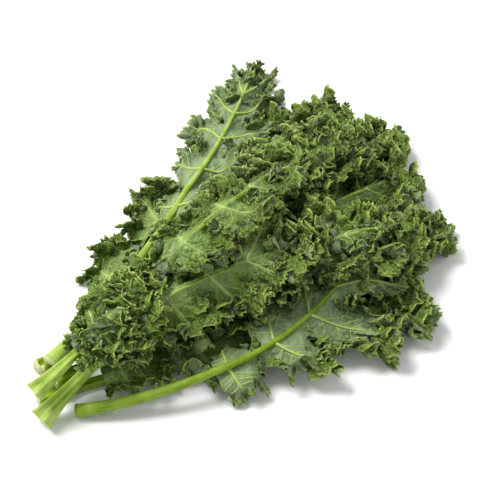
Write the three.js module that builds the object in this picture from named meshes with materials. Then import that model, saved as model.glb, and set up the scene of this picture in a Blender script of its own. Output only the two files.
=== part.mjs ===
// A bunch of curly kale lying on a flat surface: cut leaves heaped on one another, their stalks
// together at one end and their frilled blades fanned out at the other. Each leaf is two pieces, as
// its two colours are: a pale stalk that runs on as the midrib, and a thin lobed blade with a waved
// margin. Millimetres, +Z up, +X from the cut ends towards the leaf tips.
import * as THREE from "three";

// Each leaf from the bottom of the heap to the top: where its stalk is cut and where its midrib
// ends, how far it bends between them in degrees, the share of its length that is bare stalk, the
// longest rib, how much its foot widens where it clasped the stem, and which side of the blade shows.
const LEAVES = [
  { cut: [-274, -22], tip: [10, -168], bend: -14, bare: 0.18, rib: 80, flare: 2.5, side: "upper" },
  { cut: [-258, -26], tip: [84, -118], bend: -8, bare: 0.24, rib: 80, flare: 2, side: "upper" },
  { cut: [-262, -12], tip: [132, -22], bend: -8, bare: 0.24, rib: 80, flare: 2, side: "upper" },
  { cut: [-204, 14], tip: [130, 40], bend: -40, bare: 0.12, rib: 60, flare: 1, side: "upper" },
  { cut: [-258, -54], tip: [22, -116], bend: 62, bare: 0.4, rib: 68, flare: 0.4, side: "under" },
  { cut: [-204, -36], tip: [104, -70], bend: -10, bare: 0.14, rib: 72, flare: 1, side: "upper" },
  { cut: [-206, -6], tip: [118, -10], bend: 4, bare: 0.14, rib: 72, flare: 1, side: "upper" },
  { cut: [-256, -21], tip: [114, 132], bend: 24, bare: 0.46, rib: 60, flare: 2, side: "under" },
  { cut: [-140, -50], tip: [52, -124], bend: -8, bare: 0.1, rib: 58, flare: 1, side: "upper" },
  { cut: [-122, -28], tip: [84, -2], bend: 2, bare: 0.1, rib: 54, flare: 1, side: "upper" },
  { cut: [-287, -43], tip: [-34, -90], bend: -26, bare: 0.28, rib: 56, flare: 5.5, side: "upper" },
  { cut: [-212, -28], tip: [24, -10], bend: 26, bare: 0.12, rib: 54, flare: 1, side: "upper" },
  { cut: [-284, -35], tip: [-178, -38], bend: 10, bare: 0.42, rib: 42, flare: 3.5, side: "upper" },
];

// The blade: ribs run out from feet along the midrib, and rows of points run along the blade
const STATIONS = 44; // ribs from the blade's base to its tip on each side, a multiple of 4
const ROWS = [0, 0.38, 0.72, 1]; // rows of points at these shares of a rib's length
const ROW_STEPS = [4, 2, 1, 1]; // stations from one point of a row to the next
const BLADE_THICKNESS = 0.8;
const FOOT_CROWDING = 1.5; // power by which the ribs' feet draw together towards the tip
const BASE_RIB_ANGLE = 84; // from the midrib; the ribs turn towards the tip until they meet there
const RIB_TURN = 0.85; // power by which they turn
const RIB_UNEVENNESS = 0.06; // of a rib's length
const LOBES = 5.5; // on each side of the midrib
const FIRST_NOTCH = 0.25; // how far into its first lobe a blade starts
const LOBE_ROUNDNESS = 0.6; // power of the sine that draws a lobe, rounder as it falls
const NOTCH_DEPTH = 0.64; // of a rib's length, where two lobes meet
const BLADE_OUTLINE = [0.36, 0.8, 1, 0.88, 0.44]; // of the longest rib, evenly from base to tip
const WAVE_STATIONS = 4; // stations in one wave of the margin
const WAVE_HEIGHT = 10;
const WAVE_SHARES = [0, 0.12, 0.55, 1]; // of the wave's height, row by row
const WAVE_UNEVENNESS = 0.35;
const MIDRIB_HEIGHT = { upper: 8, under: 12 }; // of the blade's middle, over a bare surface
const CHANNEL_RISE = 0.32; // an upper side lies as a channel, its ribs rising from the midrib
const CHANNEL_EASING = 0.62; // share of that rise that is lost by the margin
const ARCH_FALL = 0.26; // an under side lies as an arch, its ribs falling from the midrib

// The stalk
const STALK_SIDES = 8;
const STALK_FLAT = Math.cos(Math.PI / STALK_SIDES); // from a ring's middle to its flats, over its radius
const STALK_RINGS = 11;
const STALK_RADIUS = { cut: 5.6, tip: 1.1 };
const STALK_TAPER = 0.8; // power by which the radius falls from one to the other
const FLARE_LENGTH = 22; // how far up the stalk its widened foot reaches

// The heap
const LEAF_GAP = 0.9; // upright, between a blade and what lies under it
const STALK_GAP = 0.7;
const OWN_GAP = 0.5; // between a blade and its own midrib
const SHEET_ALLOWANCE = 0.9; // half a blade's upright thickness where its waves are steep
const STEEPEST = { blade: 1, stalk: 0.4 }; // rise per millimetre along them
const MAP_CELL = 1.2;
const MAP_REACH = { x: [-330, 260], y: [-280, 280] };
const PASSES = 8;
const SETTLING = 12; // how far round a point the heap is levelled before a leaf is laid on it
const COVERED_WAVE = 0.2; // of the wave's height that is left where other leaves press on it

const COLOURS = { stalk: 0x9dbb55, upper: 0x3f6b24, under: 0x64835c };

const radians = THREE.MathUtils.degToRad;
const lerp = THREE.MathUtils.lerp;

// Even random numbers from 0 to 1, the same in each run.
function randomNumbers(seed) {
  let state = seed * 7919 + 17;
  return () => {
    state = (state * 1664525 + 1013904223) % 4294967296;
    return state / 4294967296;
  };
}

// The midrib in plan, an arc from the cut end to the tip.
function midribOf(leaf) {
  const [x, y] = [leaf.tip[0] - leaf.cut[0], leaf.tip[1] - leaf.cut[1]];
  const turn = radians(leaf.bend);
  const radius = Math.hypot(x, y) / (2 * Math.sin(turn / 2));
  return { start: Math.atan2(y, x) - turn / 2, turn, radius, length: radius * turn };
}

// The point of the midrib and its heading at a distance from the cut end.
function midribAt(leaf, distance) {
  const heading = leaf.start + distance / leaf.radius;
  return {
    x: leaf.cut[0] + leaf.radius * (Math.sin(heading) - Math.sin(leaf.start)),
    y: leaf.cut[1] - leaf.radius * (Math.cos(heading) - Math.cos(leaf.start)),
    heading,
  };
}

function stalkRadius(leaf, distance) {
  const share = distance / leaf.length;
  const body = lerp(STALK_RADIUS.cut, STALK_RADIUS.tip, share ** STALK_TAPER);
  return body + leaf.flare * Math.exp(-distance / FLARE_LENGTH);
}

// A rib's length from the blade's outline and its lobes, at a share of the way from base to tip.
function ribLength(leaf, share) {
  const place = share * (BLADE_OUTLINE.length - 1);
  const before = Math.min(Math.floor(place), BLADE_OUTLINE.length - 2);
  const outline = lerp(BLADE_OUTLINE[before], BLADE_OUTLINE[before + 1], place - before);
  const lobe = Math.abs(Math.sin(Math.PI * (LOBES * share + FIRST_NOTCH))) ** LOBE_ROUNDNESS;
  return leaf.rib * outline * (1 - NOTCH_DEPTH * (1 - lobe));
}

// The points of a blade's middle surface and the triangles between them.
function bladeSurface(leaf, seed) {
  const random = randomNumbers(seed);
  const points = [];
  const rows = new Map();
  for (const side of [1, -1]) {
    const phase = random() * Math.PI * 2;
    for (let station = 0; station <= STATIONS; station++) {
      const share = station / STATIONS;
      const distance = leaf.length * lerp(leaf.bare, 1, 1 - (1 - share) ** FOOT_CROWDING);
      const foot = midribAt(leaf, distance);
      const angle = foot.heading + side * radians(BASE_RIB_ANGLE) * (1 - share) ** RIB_TURN;
      const turn = (2 * Math.PI * station) / WAVE_STATIONS + phase;
      const wave = WAVE_HEIGHT * Math.sin(turn) * (1 + WAVE_UNEVENNESS * (2 * random() - 1));
      const reach = ribLength(leaf, share) * (1 + RIB_UNEVENNESS * (2 * random() - 1));
      ROWS.forEach((row, r) => {
        if (station % ROW_STEPS[r]) return;
        const shared = r === 0 || station === STATIONS;
        const key = `${shared ? 0 : side} ${r} ${station}`;
        if (rows.has(key)) return;
        const out = reach * row;
        const channel = CHANNEL_RISE * out * (1 - CHANNEL_EASING * row);
        const profile = leaf.side === "upper" ? channel : -ARCH_FALL * out * row;
        rows.set(key, points.length);
        points.push({
          x: foot.x + out * Math.cos(angle),
          y: foot.y + out * Math.sin(angle),
          base: MIDRIB_HEIGHT[leaf.side] + profile,
          wave: WAVE_SHARES[r] * wave,
          centre: r === 0 ? 1 : 0,
          distance,
        });
      });
    }
  }

  const at = (side, r, station) =>
    rows.get(`${r === 0 || station === STATIONS ? 0 : side} ${r} ${station}`);
  const triangles = [];
  const add = (side, a, b, c) => {
    if (a === b || b === c || a === c) return;
    triangles.push(side > 0 ? [a, b, c] : [a, c, b]);
  };
  for (const side of [1, -1]) {
    for (let r = 0; r < ROWS.length - 1; r++) {
      const inner = ROW_STEPS[r];
      const outer = ROW_STEPS[r + 1];
      for (let station = 0; station < STATIONS; station += inner) {
        const [a, b] = [at(side, r, station), at(side, r, station + inner)];
        const c = at(side, r + 1, station);
        const d = at(side, r + 1, station + outer);
        if (inner === outer) {
          add(side, a, b, d);
          add(side, a, d, c);
        } else {
          const e = at(side, r + 1, station + inner);
          add(side, a, d, c);
          add(side, a, b, d);
          add(side, b, e, d);
        }
      }
    }
  }
  return { points, triangles };
}

// The top of the heap so far, on a grid of cells; it starts as the bare surface, at 0.
class HeapTop {
  constructor() {
    this.across = Math.ceil((MAP_REACH.x[1] - MAP_REACH.x[0]) / MAP_CELL);
    this.along = Math.ceil((MAP_REACH.y[1] - MAP_REACH.y[0]) / MAP_CELL);
    this.heights = new Float32Array(this.across * this.along);
  }
  column(x) {
    return Math.floor((x - MAP_REACH.x[0]) / MAP_CELL);
  }
  line(y) {
    return Math.floor((y - MAP_REACH.y[0]) / MAP_CELL);
  }
  at(x, y) {
    return this.heights[this.line(y) * this.across + this.column(x)];
  }
  raise(x, y, z) {
    const [column, line] = [this.column(x), this.line(y)];
    for (let j = line - 1; j <= line + 1; j++) {
      for (let i = column - 1; i <= column + 1; i++) {
        const cell = j * this.across + i;
        if (this.heights[cell] < z) this.heights[cell] = z;
      }
    }
  }
}

// The heap with its heights averaged over a square round each cell, twice.
function levelled(heap) {
  const level = new HeapTop();
  const reach = Math.round(SETTLING / MAP_CELL);
  const average = (from, count, step, start, to) => {
    let sum = 0;
    for (let i = -reach; i < count; i++) {
      if (i + reach < count) sum += from[start + (i + reach) * step];
      if (i - reach - 1 >= 0) sum -= from[start + (i - reach - 1) * step];
      if (i >= 0) to[start + i * step] = sum / (2 * reach + 1);
    }
  };
  let [from, to] = [heap.heights.slice(), new Float32Array(heap.heights.length)];
  for (let round = 0; round < 2; round++) {
    for (let j = 0; j < heap.along; j++) average(from, heap.across, 1, j * heap.across, to);
    [from, to] = [to, from];
    for (let i = 0; i < heap.across; i++) average(from, heap.along, heap.across, i, to);
    [from, to] = [to, from];
  }
  level.heights = from;
  return level;
}

const heightOf = (point) => point.base + point.wave;

// Calls visit(x, y, u, v, w) at points all over a triangle, no further apart than a cell, where
// u, v and w are the shares of its corners there.
function sampleTriangle(points, corners, visit) {
  const [a, b, c] = corners.map((corner) => points[corner]);
  const longest = Math.max(
    Math.hypot(a.x - b.x, a.y - b.y),
    Math.hypot(b.x - c.x, b.y - c.y),
    Math.hypot(c.x - a.x, c.y - a.y),
  );
  const steps = Math.max(1, Math.ceil(longest / MAP_CELL));
  for (let i = 0; i <= steps; i++) {
    for (let j = 0; j <= steps - i; j++) {
      const [u, v] = [i / steps, j / steps];
      const w = 1 - u - v;
      visit(a.x * u + b.x * v + c.x * w, a.y * u + b.y * v + c.y * w, u, v, w);
    }
  }
}

// Lifts a blade until it is clear of what lies under it, no steeper than a leaf bends. Each lift
// is shared between a triangle's corners by how near they are, so that the blade drapes.
function layBlade(leaf, blade, heap, ownStalk) {
  const { points, triangles } = blade;
  const edges = [];
  for (const [a, b, c] of triangles) edges.push([a, b], [b, c], [c, a]);
  const room = leaf.side === "upper" && !ownStalk ? 2 * stalkRadius(leaf, leaf.length / 2) : 0;
  const needAt = (x, y, centre) => {
    const under = heap.at(x, y);
    const gap = under > 0 ? LEAF_GAP + room * Math.max(0, 2 * centre - 1) : 0;
    const own = ownStalk ? ownStalk.at(x, y) + OWN_GAP - SHEET_ALLOWANCE / 2 : 0;
    return Math.max(under + gap, own) + SHEET_ALLOWANCE;
  };
  for (const point of points) {
    point.base = Math.max(point.base, needAt(point.x, point.y, point.centre) - point.wave);
  }
  const midrib = points.filter((point) => point.centre).sort((a, b) => a.distance - b.distance);
  for (let pass = 0; pass < PASSES; pass++) {
    for (const [i, j] of edges) {
      const [a, b] = [points[i], points[j]];
      const most = STEEPEST.blade * Math.hypot(a.x - b.x, a.y - b.y);
      a.base = Math.max(a.base, b.base - most);
      b.base = Math.max(b.base, a.base - most);
    }
    for (let i = 1; i < midrib.length - 1; i++) {
      const level = (midrib[i - 1].base + midrib[i + 1].base) / 2;
      midrib[i].base = Math.max(midrib[i].base, level);
    }
    for (const [i, j, k] of triangles) {
      const [a, b, c] = [points[i], points[j], points[k]];
      sampleTriangle(points, [i, j, k], (x, y, u, v, w) => {
        const height = heightOf(a) * u + heightOf(b) * v + heightOf(c) * w;
        const lift = needAt(x, y, a.centre * u + b.centre * v + c.centre * w) - height;
        if (lift <= 0) return;
        const even = u * u + v * v + w * w;
        a.base += (lift * u) / even;
        b.base += (lift * v) / even;
        c.base += (lift * w) / even;
      });
    }
  }
}

// The rings of a stalk along the midrib, each with its lowest height.
function stalkRings(leaf) {
  const rings = [];
  for (let i = 0; i < STALK_RINGS; i++) {
    const distance = (leaf.length * i) / (STALK_RINGS - 1);
    const radius = stalkRadius(leaf, distance);
    rings.push({ ...midribAt(leaf, distance), distance, radius, z: radius * STALK_FLAT });
  }
  return rings;
}

// Calls visit(x, y, drop, share, ring) over a stalk's footprint, where drop is how far its skin
// lies above or below its centre line there.
function sampleStalk(rings, visit) {
  for (let i = 0; i < rings.length - 1; i++) {
    const [a, b] = [rings[i], rings[i + 1]];
    const steps = Math.ceil((b.distance - a.distance) / MAP_CELL);
    for (let k = 0; k <= steps; k++) {
      const share = k / steps;
      const radius = lerp(a.radius, b.radius, share);
      const across = Math.ceil((2 * radius) / MAP_CELL);
      for (let m = 0; m <= across; m++) {
        const offset = lerp(-radius, radius, m / across);
        visit(
          lerp(a.x, b.x, share) - offset * Math.sin(a.heading),
          lerp(a.y, b.y, share) + offset * Math.cos(a.heading),
          Math.sqrt(Math.max(0, radius * radius - offset * offset)),
          share,
          i,
        );
      }
    }
  }
}

// Lifts a stalk until it is clear of the maps under it, no steeper than it bends.
function layStalk(rings, maps) {
  const needAt = (x, y, drop) => {
    let need = 0;
    for (const [map, gap] of maps) {
      const under = map.at(x, y);
      if (under > 0) need = Math.max(need, under + gap + drop);
    }
    return need;
  };
  sampleStalk(rings, (x, y, drop, share, i) => {
    if (share > 0 && share < 1) return;
    rings[i + share].z = Math.max(rings[i + share].z, needAt(x, y, drop));
  });
  for (let pass = 0; pass < PASSES; pass++) {
    for (let i = 1; i < rings.length; i++) {
      const most = STEEPEST.stalk * (rings[i].distance - rings[i - 1].distance);
      rings[i].z = Math.max(rings[i].z, rings[i - 1].z - most);
      rings[i - 1].z = Math.max(rings[i - 1].z, rings[i].z - most);
    }
    sampleStalk(rings, (x, y, drop, share, i) => {
      const lift = needAt(x, y, drop) - lerp(rings[i].z, rings[i + 1].z, share);
      if (lift <= 0) return;
      const even = share * share + (1 - share) * (1 - share);
      rings[i].z += (lift * (1 - share)) / even;
      rings[i + 1].z += (lift * share) / even;
    });
  }
}

function mapStalk(rings, map) {
  sampleStalk(rings, (x, y, drop, share, i) => {
    map.raise(x, y, lerp(rings[i].z, rings[i + 1].z, share) + drop);
  });
}

function mapBlade(blade, map) {
  for (const corners of blade.triangles) {
    const heights = corners.map((corner) => heightOf(blade.points[corner]));
    sampleTriangle(blade.points, corners, (x, y, u, v, w) => {
      const z = heights[0] * u + heights[1] * v + heights[2] * w;
      map.raise(x, y, z + SHEET_ALLOWANCE);
    });
  }
}

// The height of a blade's midrib row at a distance along the leaf, or null on the bare stalk.
function midribHeight(blade, distance) {
  const row = blade.points.filter((point) => point.centre);
  row.sort((a, b) => a.distance - b.distance);
  for (let i = 0; i < row.length - 1; i++) {
    const [a, b] = [row[i], row[i + 1]];
    if (distance < a.distance || distance > b.distance) continue;
    return lerp(heightOf(a), heightOf(b), (distance - a.distance) / (b.distance - a.distance));
  }
  return null;
}

// Lays one leaf on the heap: a blade that shows its upper side covers its own midrib, and one that
// shows its under side carries it.
function layLeaf(leaf, blade, heap) {
  const rings = stalkRings(leaf);
  const level = levelled(heap);
  for (const point of blade.points) point.base += level.at(point.x, point.y);
  layBlade(leaf, blade, heap, null);
  if (leaf.side === "upper") {
    for (const ring of rings) {
      const height = midribHeight(blade, ring.distance);
      if (height === null) continue;
      ring.z = Math.max(ring.z, height - ring.radius - OWN_GAP - BLADE_THICKNESS / 2);
    }
    layStalk(rings, [[heap, STALK_GAP]]);
    const own = new HeapTop();
    mapStalk(rings, own);
    layBlade(leaf, blade, heap, own);
  } else {
    const own = new HeapTop();
    mapBlade(blade, own);
    layStalk(rings, [[heap, STALK_GAP], [own, OWN_GAP]]);
  }
  mapBlade(blade, heap);
  mapStalk(rings, heap);
  return rings;
}

// The blades of all the leaves, their waves pressed down where later leaves will lie on them.
function pressedBlades(leaves) {
  const cover = new HeapTop();
  const blades = leaves.map((leaf, i) => bladeSurface(leaf, i + 1));
  for (const blade of [...blades].reverse()) {
    const pressed = levelled(cover);
    for (const point of blade.points) {
      point.wave *= lerp(1, COVERED_WAVE, pressed.at(point.x, point.y));
    }
    for (const corners of blade.triangles) {
      sampleTriangle(blade.points, corners, (x, y) => cover.raise(x, y, 1));
    }
  }
  return blades;
}

// The closed solid of a blade: its middle surface moved out along its normals to both faces.
function bladeGeometry(blade) {
  const { points, triangles } = blade;
  const middle = new THREE.BufferGeometry();
  const positions = points.flatMap((point) => [point.x, point.y, heightOf(point)]);
  middle.setAttribute("position", new THREE.Float32BufferAttribute(positions, 3));
  middle.setIndex(triangles.flat());
  middle.computeVertexNormals();
  const normals = middle.getAttribute("normal");

  const count = points.length;
  const vertices = [];
  for (const face of [1, -1]) {
    points.forEach((point, i) => {
      const normal = new THREE.Vector3().fromBufferAttribute(normals, i);
      normal.multiplyScalar((face * BLADE_THICKNESS) / 2);
      vertices.push(point.x + normal.x, point.y + normal.y, heightOf(point) + normal.z);
    });
  }
  const index = [];
  const open = new Map();
  for (const [a, b, c] of triangles) {
    index.push(a, b, c, a + count, c + count, b + count);
    for (const [from, to] of [[a, b], [b, c], [c, a]]) {
      if (!open.delete(`${to} ${from}`)) open.set(`${from} ${to}`, [from, to]);
    }
  }
  for (const [from, to] of open.values()) {
    index.push(from, from + count, to + count, from, to + count, to);
  }
  const solid = new THREE.BufferGeometry();
  solid.setAttribute("position", new THREE.Float32BufferAttribute(vertices, 3));
  solid.setIndex(index);
  return solid;
}

// The solid of a stalk: a cylinder whose rings are moved onto the midrib, one flat side down.
function stalkGeometry(rings) {
  const geometry = new THREE.CylinderGeometry(1, 1, 1, STALK_SIDES, rings.length - 1);
  const positions = geometry.getAttribute("position");
  const turn = Math.PI / STALK_SIDES;
  for (let i = 0; i < positions.count; i++) {
    const share = positions.getY(i) + 0.5;
    const ring = rings[Math.round(share * (rings.length - 1))];
    const [x, z] = [positions.getX(i), positions.getZ(i)];
    const sideways = ring.radius * (x * Math.cos(turn) - z * Math.sin(turn));
    const upwards = ring.radius * (x * Math.sin(turn) + z * Math.cos(turn));
    positions.setXYZ(
      i,
      ring.x + sideways * Math.sin(ring.heading),
      ring.y - sideways * Math.cos(ring.heading),
      ring.z + upwards,
    );
  }
  return geometry;
}

const bunch = new THREE.Group();
const materials = Object.fromEntries(
  Object.entries(COLOURS).map(([name, color]) => [
    name,
    new THREE.MeshStandardMaterial({ color, roughness: 0.55, metalness: 0, side: THREE.DoubleSide }),
  ]),
);
const heap = new HeapTop();
const leaves = LEAVES.map((leaf) => ({ ...leaf, ...midribOf(leaf) }));
const blades = pressedBlades(leaves);
leaves.forEach((leaf, i) => {
  const number = String(i + 1).padStart(2, "0");
  const blade = blades[i];
  const rings = layLeaf(leaf, blade, heap);
  const stalkMesh = new THREE.Mesh(stalkGeometry(rings), materials.stalk);
  stalkMesh.name = `leaf_${number}_stalk`;
  const bladeMesh = new THREE.Mesh(bladeGeometry(blade), materials[leaf.side]);
  bladeMesh.name = `leaf_${number}_blade`;
  bunch.add(stalkMesh, bladeMesh);
});

// The origin lies under the middle of the bunch, on the surface.
const extent = new THREE.Box3().setFromObject(bunch);
const centre = extent.getCenter(new THREE.Vector3());
for (const mesh of bunch.children) mesh.position.set(-centre.x, -centre.y, -extent.min.z);

export default bunch;
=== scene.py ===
"""The looks of a bunch of curly kale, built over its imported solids: each leaf's blade as a thin
sheet with a crimped, frilled margin and raised veins, and each stalk as a grooved, tapering tube
that runs on as the midrib. Lengths are in metres, apart from the leaves' plan and what is named
as millimetres."""

import math

import bpy
import numpy as np
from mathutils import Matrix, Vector
from mathutils.bvhtree import BVHTree


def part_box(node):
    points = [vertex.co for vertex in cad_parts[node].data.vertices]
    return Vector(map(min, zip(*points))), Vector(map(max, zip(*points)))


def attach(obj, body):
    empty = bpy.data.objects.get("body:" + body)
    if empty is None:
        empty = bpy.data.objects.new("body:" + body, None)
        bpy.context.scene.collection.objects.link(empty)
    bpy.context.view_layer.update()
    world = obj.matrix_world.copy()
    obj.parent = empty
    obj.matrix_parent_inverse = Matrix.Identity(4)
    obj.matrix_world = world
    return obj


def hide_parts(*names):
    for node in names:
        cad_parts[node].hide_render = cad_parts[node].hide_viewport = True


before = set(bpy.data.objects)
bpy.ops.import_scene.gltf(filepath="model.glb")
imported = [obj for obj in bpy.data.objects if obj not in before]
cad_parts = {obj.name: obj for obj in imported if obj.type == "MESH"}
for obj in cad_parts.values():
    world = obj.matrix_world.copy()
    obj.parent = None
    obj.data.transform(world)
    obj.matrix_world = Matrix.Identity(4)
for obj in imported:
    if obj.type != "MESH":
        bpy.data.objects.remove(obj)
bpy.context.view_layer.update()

MM = 0.001
SHORTEST = 1e-12  # a vector's length, under which it has no direction

# The leaves, bottom to top, in plan as the solids have them, in millimetres and degrees
LEAVES = [
    dict(cut=(-274, -22), tip=(10, -168), bend=-14, bare=0.18, rib=80, flare=2.5, side="upper"),
    dict(cut=(-258, -26), tip=(84, -118), bend=-8, bare=0.24, rib=80, flare=2, side="upper"),
    dict(cut=(-262, -12), tip=(132, -22), bend=-8, bare=0.24, rib=80, flare=2, side="upper"),
    dict(cut=(-204, 14), tip=(130, 40), bend=-40, bare=0.12, rib=60, flare=1, side="upper"),
    dict(cut=(-258, -54), tip=(22, -116), bend=62, bare=0.4, rib=68, flare=0.4, side="under"),
    dict(cut=(-204, -36), tip=(104, -70), bend=-10, bare=0.14, rib=72, flare=1, side="upper"),
    dict(cut=(-206, -6), tip=(118, -10), bend=4, bare=0.14, rib=72, flare=1, side="upper"),
    dict(cut=(-256, -21), tip=(114, 132), bend=24, bare=0.46, rib=60, flare=2, side="under"),
    dict(cut=(-140, -50), tip=(52, -124), bend=-8, bare=0.1, rib=58, flare=1, side="upper"),
    dict(cut=(-122, -28), tip=(84, -2), bend=2, bare=0.1, rib=54, flare=1, side="upper"),
    dict(cut=(-287, -43), tip=(-34, -90), bend=-26, bare=0.28, rib=56, flare=5.5, side="upper"),
    dict(cut=(-212, -28), tip=(24, -10), bend=26, bare=0.12, rib=54, flare=1, side="upper"),
    dict(cut=(-284, -35), tip=(-178, -38), bend=10, bare=0.42, rib=42, flare=3.5, side="upper"),
]
PALE_STALKED = (7, 10, 12)  # the leaves with paler stalks, counted from 0

# How the solids draw a blade and a stalk, so that their points can be found again in plan
STATIONS = 44  # steps along each side of a blade, from its base to its tip
ROWS = (0, 0.38, 0.72, 1)  # of a rib's length
ROW_STEPS = (4, 2, 1, 1)  # stations from one point of a row to the next
FOOT_CROWDING = 1.5
BASE_RIB_ANGLE = 84  # degrees from the midrib
RIB_TURN = 0.85
RIB_UNEVENNESS = 0.06
LOBES = 5.5  # along each side of a blade
FIRST_NOTCH = 0.25  # of a lobe
LOBE_ROUNDNESS = 0.6
NOTCH_DEPTH = 0.64  # of a rib's length
BLADE_OUTLINE = (0.36, 0.8, 1, 0.88, 0.44)  # of the longest rib, from base to tip
STALK_RADIUS_MM = (5.6, 1.1)  # at the cut end and at the tip
STALK_TAPER = 0.8
STALK_RINGS = 11
STALK_SIDES = 8
FLARE_LENGTH_MM = 22
RING_REACH = 1.05  # of a stalk's radius, within which its ring's vertices are looked for
SEED_FACTOR = 7919
SEED_OFFSET = 17
DRAW_FACTOR = 1664525
DRAW_OFFSET = 1013904223
DRAW_RANGE = 2**32

# The finer sheet laid over those points: for each zone out along the ribs its end as a share, its
# rows, and the columns from one point of a row to the next, fewer towards the midrib
ZONES = ((0.38, 4, 16), (0.6, 3, 8), (0.8, 3, 4), (0.92, 3, 2), (1.0, 2, 1))
COLUMN_SPACING = 0.41 * MM  # along a margin that is open to view
COVERED_COLUMNS = 0.18  # of that many columns where other leaves hide the margin
COLUMN_SMOOTHING = (0.2, 0.6, 0.2)  # over neighbouring stations
SHEET_THICKNESS = 0.5 * MM
LOOK_ELEVATIONS = (15, 50, 90)  # degrees, the directions from which a margin may be seen
LOOK_TURNS = 6
LOOK_START = 1.5 * MM  # above the margin

# The frill: waves of the margin, each finer than the last. A wave rises and falls by its height,
# sways out and in by its sway, closes into loops, and grows from its start out along the ribs.
FRILLS = dict(
    upper=(
        dict(wavelength=24 * MM, height=3.0 * MM, sway=6.0 * MM, loops=2.4 * MM, start=0.25),
        dict(wavelength=8.5 * MM, height=2.4 * MM, sway=2.9 * MM, loops=1.3 * MM, start=0.36),
        dict(wavelength=4.3 * MM, height=1.5 * MM, sway=1.6 * MM, loops=0.6 * MM, start=0.6),
    ),
    under=(
        dict(wavelength=26 * MM, height=2.4 * MM, sway=2.5 * MM, loops=1.2 * MM, start=0.5),
        dict(wavelength=11 * MM, height=2.2 * MM, sway=2.4 * MM, loops=1.3 * MM, start=0.62),
        dict(wavelength=5.6 * MM, height=1.4 * MM, sway=1.7 * MM, loops=0.7 * MM, start=0.82),
    ),
)
TURN_UP = dict(start=0.6, height=7 * MM, back=5 * MM)  # of the whole margin, after the first wave
FOLD = dict(length=45 * MM, back=15 * MM)  # of lobes here and there, back over the blade

# What makes the waves uneven: values that wander from one spacing, in wavelengths, to the next
WANDER = dict(spacing=2.3, phase=2.2)
STRENGTH = dict(spacing=1.7, size=0.4)
LEAN = dict(spacing=3.1, inner_phase=1.5, sway_phase=0.6)
SPARE_VALUES = 4  # past the end of the margin

# What the neighbours leave of the frill
ROOM_FOR_FRILL = 10 * MM  # to the next leaf, for a full frill
ROOM_START = 1.2 * MM  # from the solids' middle, where the look for a neighbour starts
CRAMPED_SIZE = 0.12  # of the full frill, with no room above
HIDDEN_SIZE = 0.3  # of the finest wave, where other leaves hide it
CRAMPED_RISE = 0.8  # of a wave's height, by which it keeps up with no room below
FLOOR_CLEARANCE = 0.6 * MM

# The stalks and midribs: round tubes, grooved along the leaf's upper side between raised banks
TUBE_RINGS = 70
TUBE_SIDES = 24
TUBE_FLATNESS = 0.92  # height over width
TUBE_CURVE_POWER = 3  # of the curve laid through the heights of the solid's rings
JOINING_MM = (-10, 50)  # where a tube goes over from its solid to the sheet, from the blade's base
MIDRIB_RISE = dict(upper=(-0.95, -1.25), under=(0.45, 0.45))  # in radii, at the cut and the tip
GROOVE_DEPTH = (0.55, 0.42)  # in radii, on the bare stalk and on the midrib
GROOVE_WIDTH = 0.42  # radians round the tube
BANKS = dict(height=0.35, away=0.85, width=0.3)  # of the groove's depth, and radians
RIDGES = dict(count=9, height=0.02)  # round the tube, and in radii

# The raised veins: one from the midrib out into each lobe, with branches to both sides
VEIN_SIDES = 5
VEIN_SIZE = dict(upper=0.6, under=1.0)
VEIN_RISE = dict(upper=-0.15, under=0.35)  # of a vein's middle over the sheet's face, in radii
VEIN_THINNING = 0.35  # from the veins at the blade's base to those at its tip
VEIN_END = 0.93  # of a rib's length
VEIN_MARGIN = 0.1  # stations left free at the blade's base
LATERAL = dict(points=12, radii_mm=(2.1, 0.4), taper=0.7)
BRANCH = dict(points=7, radii_mm=(0.62, 0.25), length=0.42, curve=0.85)
BRANCHES = ((0.16, 0.42), (0.36, 0.35), (0.56, 0.28))  # start on the rib, and spread in lobes


def lerp(a, b, share):
    return a + (b - a) * share


def unit(vectors):
    """The vectors at a length of 1, or 0 where they have none."""
    length = np.linalg.norm(vectors, axis=-1, keepdims=True)
    return vectors / np.maximum(length, SHORTEST)


def ease(values, start, end):
    share = np.clip((values - start) / (end - start), 0, 1)
    return share * share * (3 - 2 * share)


def random_numbers(seed):
    """Even random numbers from 0 to 1, the same ones that drew the solids."""
    state = seed * SEED_FACTOR + SEED_OFFSET
    while True:
        state = (state * DRAW_FACTOR + DRAW_OFFSET) % DRAW_RANGE
        yield state / DRAW_RANGE


def midrib(leaf):
    """The midrib's first heading, radius and length, in millimetres."""
    across = [leaf["tip"][i] - leaf["cut"][i] for i in (0, 1)]
    turn = math.radians(leaf["bend"])
    radius = math.hypot(*across) / (2 * math.sin(turn / 2))
    return math.atan2(across[1], across[0]) - turn / 2, radius, radius * turn


def midrib_at(leaf, distance):
    """x, y and heading of the midrib, in millimetres, at a distance from the cut end."""
    start, radius, _ = midrib(leaf)
    heading = start + distance / radius
    x = leaf["cut"][0] + radius * (math.sin(heading) - math.sin(start))
    y = leaf["cut"][1] - radius * (math.cos(heading) - math.cos(start))
    return x, y, heading


def stalk_radius(leaf, distance):
    """In millimetres, widest at the flared cut end."""
    share = distance / midrib(leaf)[2]
    body = lerp(*STALK_RADIUS_MM, share**STALK_TAPER)
    return body + leaf["flare"] * math.exp(-distance / FLARE_LENGTH_MM)


def rib_length(leaf, share):
    """In millimetres, at a share of the way from the blade's base to its tip."""
    place = share * (len(BLADE_OUTLINE) - 1)
    before = min(int(place), len(BLADE_OUTLINE) - 2)
    outline = lerp(BLADE_OUTLINE[before], BLADE_OUTLINE[before + 1], place - before)
    lobe = abs(math.sin(math.pi * (LOBES * share + FIRST_NOTCH))) ** LOBE_ROUNDNESS
    return leaf["rib"] * outline * (1 - NOTCH_DEPTH * (1 - lobe))


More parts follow.
